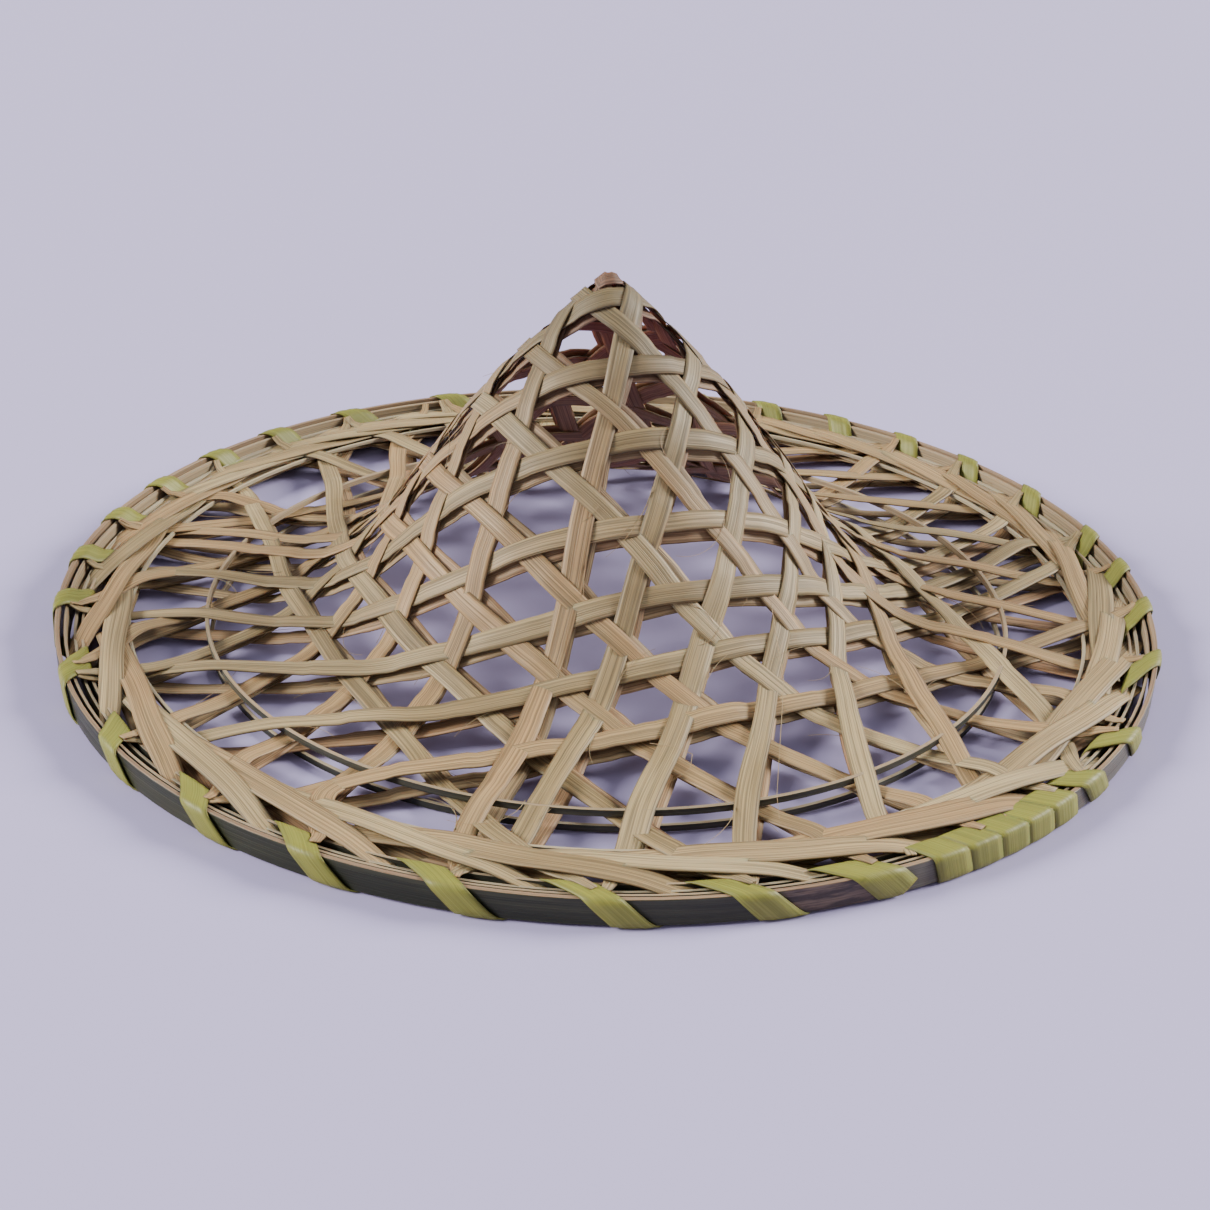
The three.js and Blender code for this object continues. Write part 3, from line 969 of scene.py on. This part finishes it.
# %% [markdown]
# ## Tools for the materials
# The materials are graphs of nodes. A few helpers add a node, calculate, ease from one value to
# another and mix two colours, so that the materials below read like a recipe. The most used one
# is noise that is drawn out along the strip: on the strip's own map one way runs along the strip.

# %% Node helpers
# How far apart in the noise the strips are, for the whole range of tones
NOISE_APART = 90.0


def add(tree, kind, inputs=None, **settings):
    """Adds a node. Each input is given as a value, or as the output that feeds it."""
    node = tree.nodes.new(kind)
    for key, value in settings.items():
        setattr(node, key, value)
    for key, value in (inputs or {}).items():
        if isinstance(value, bpy.types.NodeSocket):
            tree.links.new(value, node.inputs[key])
        else:
            node.inputs[key].default_value = value
    return node


def calculate(tree, operation, *values):
    """The result of one operation on values or outputs."""
    node = add(tree, "ShaderNodeMath", dict(enumerate(values)), operation=operation)
    return node.outputs[0]


def ease(tree, value, low, high, start=0.0, end=1.0):
    """Goes smoothly from start to end while the value goes from low to high."""
    node = add(tree, "ShaderNodeMapRange", {"Value": value, "From Min": low, "From Max": high,
               "To Min": start, "To Max": end}, interpolation_type="SMOOTHSTEP")
    return node.outputs["Result"]


def mix_colours(tree, factor, first, second, blend="MIX"):
    """A colour between two, or their product."""
    node = add(tree, "ShaderNodeMix", data_type="RGBA", blend_type=blend)
    for key, value in (("Factor_Float", factor), ("A_Color", first), ("B_Color", second)):
        socket = next(socket for socket in node.inputs if socket.identifier == key)
        if isinstance(value, bpy.types.NodeSocket):
            tree.links.new(value, socket)
        else:
            socket.default_value = value
    return next(socket for socket in node.outputs if socket.identifier == "Result_Color")


def new_group(name, inputs, outputs):
    """An empty node group with the named sockets, and its nodes that hold them."""
    group = bpy.data.node_groups.new(name, "ShaderNodeTree")
    for label, value in inputs.items():
        kind = "NodeSocketColor" if isinstance(value, tuple) else "NodeSocketFloat"
        socket = group.interface.new_socket(label, in_out="INPUT", socket_type=kind)
        socket.default_value = value
    for label, kind in outputs.items():
        group.interface.new_socket(label, in_out="OUTPUT", socket_type=kind)
    return group, group.nodes.new("NodeGroupInput").outputs, group.nodes.new("NodeGroupOutput").inputs


def stretched_noise(tree, waves, **settings):
    """Noise on the strip's own map, drawn out along the strip, and different on each strip. Its
    waves per metre are given along and across."""
    place = add(tree, "ShaderNodeUVMap", uv_map="strip").outputs["UV"]
    own = add(tree, "ShaderNodeAttribute", attribute_name="tone").outputs["Fac"]
    offset = add(tree, "ShaderNodeCombineXYZ", {"Z": calculate(tree, "MULTIPLY", own, NOISE_APART)})
    scaled = add(tree, "ShaderNodeVectorMath",
                 {0: place, 1: (*waves, 0), 2: offset.outputs[0]},
                 operation="MULTIPLY_ADD")
    noise = add(tree, "ShaderNodeTexNoise", {"Vector": scaled.outputs[0], "Scale": 1.0, **settings})
    return noise.outputs["Fac"]


print("helpers are ready")

# %% [markdown]
# ## Grain
# The fibres of bamboo run the whole length of a strip, so noise that is drawn out lengthwise looks
# like them, and thin lines where another noise passes its middle value look like grooves. Painted
# pictures of bamboo would blur close up, so the grain is computed, in a group that all share.

# %% Grain
# Each pattern's waves per metre: along the strip, and across it
FINE_FIBRES = (12, 2500)
BROAD_FIBRES = (9, 500)
GROOVE_LINES = (4, 560)
FINE_SHARE = 0.88
GROOVE_WIDTH = 0.022


def grain_group():
    """Fibres and grooves along the strip, and the height that they give its surface."""
    group, given, result = new_group("bamboo grain", {"Grooves": 1.0}, {
        "Fibres": "NodeSocketFloat", "Grooves": "NodeSocketFloat", "Height": "NodeSocketFloat"})
    fine = stretched_noise(group, FINE_FIBRES, Detail=3.0, Roughness=0.55)
    broad = stretched_noise(group, BROAD_FIBRES, Detail=1.0)
    fibres = calculate(group, "MULTIPLY_ADD", broad, 1 - FINE_SHARE,
                       calculate(group, "MULTIPLY", fine, FINE_SHARE))
    line = stretched_noise(group, GROOVE_LINES, Detail=1.0)
    beside = calculate(group, "ABSOLUTE", calculate(group, "SUBTRACT", line, 0.5))
    groove = calculate(group, "MULTIPLY", ease(group, beside, 0.0, GROOVE_WIDTH, 1.0, 0.0),
                       given["Grooves"])
    height = calculate(group, "SUBTRACT", fibres, groove)
    group.links.new(fibres, result["Fibres"])
    group.links.new(groove, result["Grooves"])
    group.links.new(height, result["Height"])
    return group


GRAIN = grain_group()
print("node group:", GRAIN.name)

# %% [markdown]
# ## Tones, painted tip shade and edges
# No two strips have the same colour. A material for each would be a long list, so the tone and the
# hue of a strip come from two numbers that its vertices carry, and slow patches change them along
# the strip. Toward the tip all strips are browner: this is painted shade, for the shade inside the
# crown's top and the duller look of its upper strips under the light. The edges of a strip are
# darker, and uneven: partly where it was cut, and partly painted shade where the strips touch.

# %% Tones and edges
TONE_PATCHES = (14, 60)
PATCH_VALUES = (0.35, 0.65)
PATCH_SHARE = 0.45
OWN_SHARE = 0.5
WARM_HUES = (0.35, 0.9)
WARM_PATCHES = (0.7, 0.4)
LEAST_WARMTH = 0.45
# Heights in metres over which the tip colour, a painted shade, comes in
TIP_SHADE_HEIGHTS = (0.05, 0.13)

# The darker edge, partly where the strip was cut and partly painted shade, begins and is full at
# these distances from the strip's middle, in half widths and with up to so much added by the wear
EDGE_WEAR = (60, 400)
EDGE_ADDED = 0.25
EDGE_BAND = (0.98, 1.14)


def tone_group():
    """A colour between a light, a dark and a warm one, by strip and by patches along it, and with
    painted shade toward the tip.
    """
    group, given, result = new_group("strip tones", {
        "Light": (1.0, 1.0, 1.0, 1.0), "Dark": (0.0, 0.0, 0.0, 1.0), "Warm": (1.0, 0.5, 0.2, 1.0),
        "Tip shade": (0.5, 0.4, 0.3, 1.0)}, {"Colour": "NodeSocketColor"})
    own = add(group, "ShaderNodeAttribute", attribute_name="tone").outputs["Fac"]
    hue = add(group, "ShaderNodeAttribute", attribute_name="hue").outputs["Fac"]
    patches = stretched_noise(group, TONE_PATCHES, Detail=2.0)
    darkness = calculate(group, "MULTIPLY_ADD", ease(group, patches, *PATCH_VALUES), PATCH_SHARE,
                         calculate(group, "MULTIPLY", own, OWN_SHARE))
    warmth = calculate(group, "MULTIPLY", ease(group, hue, *WARM_HUES),
                       ease(group, patches, *WARM_PATCHES, LEAST_WARMTH, 1.0))
    colour = mix_colours(group, darkness, given["Light"], given["Dark"])
    colour = mix_colours(group, warmth, colour, given["Warm"])
    place = add(group, "ShaderNodeTexCoord").outputs["Object"]
    height = add(group, "ShaderNodeSeparateXYZ", {"Vector": place}).outputs["Z"]
    # Painted shade: toward the tip the colour turns to the tip colour
    tip_shade_mask = ease(group, height, *TIP_SHADE_HEIGHTS)
    group.links.new(mix_colours(group, tip_shade_mask, colour, given["Tip shade"]), result["Colour"])
    return group


def cut_and_shaded_edge_group():
    """A mask of the strip's darker edges, uneven along the strip: partly where it was cut, and partly
    painted shade where the strips touch.
    """
    group, given, result = new_group("cut edges with painted shade", {"Amount": 1.0}, {"Mask": "NodeSocketFloat"})
    beside = add(group, "ShaderNodeAttribute", attribute_name="edge").outputs["Fac"]
    wear = stretched_noise(group, EDGE_WEAR, Detail=2.0)
    distance = calculate(group, "MULTIPLY_ADD", wear, EDGE_ADDED,
                         calculate(group, "ABSOLUTE", beside))
    mask = calculate(group, "MULTIPLY", ease(group, distance, *EDGE_BAND), given["Amount"])
    group.links.new(mask, result["Mask"])
    return group


TONES, EDGES_CUT_AND_SHADED = tone_group(), cut_and_shaded_edge_group()
print("node groups:", TONES.name + ",", EDGES_CUT_AND_SHADED.name)

# %% [markdown]
# ## The skin of the cane
# The hoops keep the skin of the cane on their outer side. It is brown-grey on the thin hoops. On
# the rim's outer hoop it is green, and dry and grey between two nodes of the cane. Each node has
# left a brown stain round it. Separate materials would meet at hard borders, so the skin is a
# colour within the hoop's own material, and noise along the hoop breaks up its borders.

# %% Skins
THIN_SKIN = [(0.022, 0.022, 0.014, 1), (0.06, 0.055, 0.036, 1)]
GREEN_SKIN = [(0.015, 0.017, 0.006, 1), (0.036, 0.037, 0.014, 1)]
BROWN_STAIN = [(0.04, 0.025, 0.018, 1), (0.13, 0.088, 0.058, 1)]
DRY_SKIN = (0.105, 0.096, 0.066, 1)

# The patterns' waves per metre, along the hoop and across it
THIN_SKIN_PATCHES = (16, 300)
GREEN_SKIN_PATCHES = (9, 220)
STAIN_SPOTS = (70, 420)

# The values of the noise between which the skin turns lighter, and the stain
LIGHTER_SKIN = (0.35, 0.68)
LIGHTER_STAIN = (0.4, 0.62)

# How far round the front the first node of the cane is, how far apart the nodes are, and over
# what length the skin turns dry, in metres along the hoop
NODES_ROUND_RIM = 3
FIRST_NODE = 0.0705
NODE_SPACING = 2 * math.pi * RIM_OUTSIDE * MM / NODES_ROUND_RIM
DRY_MARGIN = 0.004

# Where the stain ends, as a share of the distance between nodes, and how ragged its end is
STAIN_END = (0.062, 0.05)
STAIN_RAGGED = 0.03


def hoop_skin(tree):
    """The dull brown-grey skin of the thin hoops."""
    patches = stretched_noise(tree, THIN_SKIN_PATCHES, Detail=3.0)
    return mix_colours(tree, ease(tree, patches, *PATCH_VALUES), *THIN_SKIN)


def rim_skin(tree):
    """The green skin of the rim's outer hoop, with its dry length and its stained nodes."""
    patches = stretched_noise(tree, GREEN_SKIN_PATCHES, Detail=4.0, Roughness=0.6)
    colour = mix_colours(tree, ease(tree, patches, *LIGHTER_SKIN), *GREEN_SKIN)
    place = add(tree, "ShaderNodeUVMap", uv_map="strip").outputs["UV"]
    lengthwise = add(tree, "ShaderNodeSeparateXYZ", {"Vector": place}).outputs["X"]
    next_node = FIRST_NODE + NODE_SPACING
    dry = calculate(tree, "MULTIPLY", ease(tree, lengthwise, FIRST_NODE, FIRST_NODE + DRY_MARGIN),
                    ease(tree, lengthwise, next_node, next_node - DRY_MARGIN))
    colour = mix_colours(tree, dry, colour, DRY_SKIN)
    shifted = calculate(tree, "DIVIDE", calculate(tree, "SUBTRACT", lengthwise, FIRST_NODE),
                        NODE_SPACING)
    from_node = calculate(tree, "ABSOLUTE", calculate(tree, "SUBTRACT", shifted,
                                                      calculate(tree, "ROUND", shifted)))
    ragged = calculate(tree, "MULTIPLY_ADD", patches, STAIN_RAGGED, from_node)
    stain = ease(tree, ragged, *STAIN_END)
    spots = stretched_noise(tree, STAIN_SPOTS, Detail=3.0, Roughness=0.6)
    brown = mix_colours(tree, ease(tree, spots, *LIGHTER_STAIN), *BROWN_STAIN)
    return mix_colours(tree, stain, colour, brown)


print("nodes of the cane are apart by, mm:", round(NODE_SPACING / MM))

# %% [markdown]
# ## Bamboo
# All the finishes come from the same plant, so one function makes them from the same groups. The
# grain darkens the colour, roughens the surface and raises it. A little light passes through thin
# bamboo, which subsurface scattering gives, and which makes the inside of the hat glow.

# %% Bamboo
SHEEN_LEVEL = 0.35
LIGHT_THROUGH = 0.4
LIGHT_THROUGH_REACH = (1.0, 0.45, 0.25)
LIGHT_THROUGH_SCALE = 0.7 * MM

# How bright the colour is left in a groove, and at a strip's edge, which is partly cut and partly
# painted shade
GROOVE_SHADE = 0.45
EDGE_SHADE = 0.4

# How much darker and lighter the fibres make it, and how much rougher and smoother, and between
# which values of the grain
SHADE_VALUES = (0.36, 0.64)
ROUGH_VALUES = (0.3, 0.7)
FIBRES_DARKER = 0.55
FIBRES_LIGHTER = 0.25
FIBRES_ROUGHER = 0.12
FIBRES_SMOOTHER = 0.08
BUMP_STRENGTH = 0.6
BUMP_DEPTH = 0.2 * MM


def put_group(tree, group, inputs):
    """Places a node group, and gives its outputs."""
    return add(tree, "ShaderNodeGroup", inputs, node_tree=group).outputs


def bamboo(name, light, dark, warm, tip, roughness, fibres=0.5, grooves=0.5, edges=0.5, skin=None):
    """A bamboo material. A piece with a skin map can have another colour on its skin."""
    material = bpy.data.materials.new(name)
    material.use_nodes = True
    tree = material.node_tree
    shader = tree.nodes["Principled BSDF"]
    grain = put_group(tree, GRAIN, {"Grooves": grooves})
    # Darker edges: partly where the strip was cut, and partly painted shade where the strips touch
    edge = put_group(tree, EDGES_CUT_AND_SHADED, {"Amount": edges})["Mask"]
    # The tip colour is painted shade, which the strips take on toward the hat's tip
    colour = put_group(tree, TONES, {
        "Light": (*light, 1), "Dark": (*dark, 1), "Warm": (*warm, 1), "Tip shade": (*tip, 1)})["Colour"]
    if skin:
        skin_map = add(tree, "ShaderNodeUVMap", uv_map="skin").outputs["UV"]
        on_skin = add(tree, "ShaderNodeSeparateXYZ", {"Vector": skin_map}).outputs["X"]
        colour = mix_colours(tree, on_skin, colour, skin(tree))
    shade = ease(tree, grain["Fibres"], *SHADE_VALUES, 1 - fibres * FIBRES_DARKER,
                 1 + fibres * FIBRES_LIGHTER)
    shade = calculate(tree, "MULTIPLY", shade,
                      ease(tree, grain["Grooves"], 0.0, 1.0, 1.0, GROOVE_SHADE))
    shade = calculate(tree, "MULTIPLY", shade, ease(tree, edge, 0.0, 1.0, 1.0, EDGE_SHADE))
    shades = add(tree, "ShaderNodeCombineColor", {"Red": shade, "Green": shade, "Blue": shade})
    colour = mix_colours(tree, 1.0, colour, shades.outputs["Color"], "MULTIPLY")
    tree.links.new(colour, shader.inputs["Base Color"])
    rough = ease(tree, grain["Fibres"], *ROUGH_VALUES, roughness + FIBRES_ROUGHER,
                 roughness - FIBRES_SMOOTHER)
    tree.links.new(rough, shader.inputs["Roughness"])
    bump = add(tree, "ShaderNodeBump", {
        "Height": grain["Height"], "Strength": BUMP_STRENGTH, "Distance": BUMP_DEPTH})
    tree.links.new(bump.outputs["Normal"], shader.inputs["Normal"])
    shader.inputs["Specular IOR Level"].default_value = SHEEN_LEVEL
    shader.inputs["Subsurface Weight"].default_value = LIGHT_THROUGH
    shader.inputs["Subsurface Radius"].default_value = LIGHT_THROUGH_REACH
    shader.inputs["Subsurface Scale"].default_value = LIGHT_THROUGH_SCALE
    return material


print("share of light that goes through:", LIGHT_THROUGH)

# %% [markdown]
# ## Finishes
# The outer strips are pale and dry. The inner ones are darker and redder: partly their own colour,
# and partly painted shade, for they lie under the outer weave. The side of the strips that faces the
# head keeps the bamboo's red, so both weaves have a second material there, which the thickness
# modifier gives to the lower side; its red and its dark brown near the tip are partly painted shade
# and painted warm bounce light inside the crown. The lashing is a fresh green strip.

# %% Finishes
cream = bamboo("cream bamboo", light=(0.42, 0.325, 0.173), dark=(0.215, 0.15, 0.066),
               warm=(0.325, 0.205, 0.093), tip=(0.165, 0.125, 0.062),
               roughness=0.55, fibres=0.85, grooves=0.5, edges=0.6)
# The inner strips' darker colours are partly painted shade from the outer weave above them
shaded = bamboo("shaded bamboo", light=(0.38, 0.27, 0.145), dark=(0.25, 0.17, 0.083),
                warm=(0.31, 0.18, 0.093), tip=(0.155, 0.082, 0.047),
                roughness=0.6, fibres=0.85, grooves=0.5, edges=0.6)
# The bamboo's red inner face, with painted shade and painted warm bounce light inside the crown
underside_red_and_shaded = bamboo("red and shaded underside bamboo", light=(0.37, 0.215, 0.12), dark=(0.25, 0.13, 0.068),
                   warm=(0.33, 0.145, 0.08), tip=(0.3, 0.085, 0.045),
                   roughness=0.6, fibres=0.85, grooves=0.5, edges=0.6)
split = bamboo("split bamboo", light=(0.36, 0.30, 0.19), dark=(0.24, 0.19, 0.12),
               warm=(0.30, 0.22, 0.13), tip=(0.2, 0.15, 0.08),
               roughness=0.5, edges=0, skin=hoop_skin)
green = bamboo("green bamboo skin", light=(0.36, 0.27, 0.15), dark=(0.2, 0.13, 0.08),
               warm=(0.2, 0.11, 0.07), tip=(0.2, 0.15, 0.08),
               roughness=0.42, grooves=0.25, edges=0, skin=rim_skin)
yellow = bamboo("lashing bamboo", light=(0.215, 0.212, 0.036), dark=(0.155, 0.158, 0.029),
                warm=(0.215, 0.192, 0.045), tip=(0.2, 0.19, 0.04),
                roughness=0.5, fibres=0.4, grooves=0.2, edges=0.5)
FINISHES = [
    ("strip_cream", cream, [outer_weave, rim_strips, loose_fibres]),
    ("strip_shaded", shaded, [inner_weave, inner_rim_strips]),
    ("hoop_split", split, [upper_hoop, lower_hoop, brim_hoop, rim_inner]),
    ("rim_green", green, [rim_outer]),
    ("lashing_yellow", yellow, [lashing]),
]
for slot, material, pieces in FINISHES:
    for piece in pieces:
        piece.data.materials.append(material)
    print(slot, "is", material.name)
for weave in (outer_weave, inner_weave):
    weave.data.materials.append(underside_red_and_shaded)
    weave.modifiers["thickness"].material_offset = 1

# %% [markdown]
# ## Floor
# A plain pale floor carries the hat. A studio sweep would curve up behind it, but then it would
# hide the hat in some views, so the floor is flat, and its edge is far away in all of them. It is
# a little lavender, which sets off the yellow of the bamboo that lies on it.

# %% Floor
FLOOR_HALF_WIDTH = 4
FLOOR_COLOUR = (0.385, 0.345, 0.555, 1)
FLOOR_ROUGHNESS = 0.9


def add_floor():
    """A plain square floor at the height of the ground."""
    mesh = bpy.data.meshes.new("floor")
    bm = bmesh.new()
    bmesh.ops.create_grid(bm, x_segments=1, y_segments=1, size=FLOOR_HALF_WIDTH)
    bm.to_mesh(mesh)
    bm.free()
    floor = bpy.data.objects.new("floor", mesh)
    bpy.context.scene.collection.objects.link(floor)
    material = bpy.data.materials.new("pale floor")
    material.use_nodes = True
    shader = material.node_tree.nodes["Principled BSDF"]
    shader.inputs["Base Color"].default_value = FLOOR_COLOUR
    shader.inputs["Roughness"].default_value = FLOOR_ROUGHNESS
    mesh.materials.append(material)
    return floor


print("stage:", add_floor().name)

# %% [markdown]
# ## Light
# Two wide lamps and a soft sky show the weave best. The lamps stand low on the left and the right,
# so that the openings of the weave look onto a floor in the hat's own shade. A nearby area lamp
# would leave the far floor dark, and a wide sun lights all of it alike.

# %% Light
LAMP_WIDTH = math.radians(26)
LAMP_COLOUR = (1, 0.98, 0.95)
LAMP_STRENGTH = 6.73
LEFT_LAMP = (-1.5, -0.2, 0.82)
RIGHT_LAMP = (1.4, 0.4, 0.77)
SKY_COLOUR = (0.9, 0.9, 1.0, 1)
SKY_STRENGTH = 0.5

# The shade of the lit floor, so that the floor's far edge hardly shows
BACKDROP_COLOUR = (0.94, 0.84, 1.32, 1)


def add_lamp(name, comes_from):
    """A sun as wide as a large studio lamp."""
    data = bpy.data.lights.new(name, "SUN")
    data.angle = LAMP_WIDTH
    data.energy = LAMP_STRENGTH
    data.color = LAMP_COLOUR
    lamp = bpy.data.objects.new(name, data)
    bpy.context.scene.collection.objects.link(lamp)
    lamp.location = comes_from
    lamp.rotation_mode = "QUATERNION"
    lamp.rotation_quaternion = (-Vector(comes_from)).to_track_quat("-Z", "Y")


def light_the_sky():
    """A soft light from all round. Where the sky itself is seen, it is a backdrop like the floor."""
    world = bpy.data.worlds.new("sky")
    bpy.context.scene.world = world
    world.use_nodes = True
    tree = world.node_tree
    sky = tree.nodes["Background"]
    sky.inputs["Color"].default_value = SKY_COLOUR
    sky.inputs["Strength"].default_value = SKY_STRENGTH
    seen = add(tree, "ShaderNodeBackground", {"Color": BACKDROP_COLOUR})
    path = add(tree, "ShaderNodeLightPath")
    both = add(tree, "ShaderNodeMixShader", {
        0: path.outputs["Is Camera Ray"], 1: sky.outputs[0], 2: seen.outputs[0]})
    tree.links.new(both.outputs[0], tree.nodes["World Output"].inputs["Surface"])


light_the_sky()
add_lamp("left light", LEFT_LAMP)
add_lamp("right light", RIGHT_LAMP)
print("lamps:", len(bpy.data.lights))
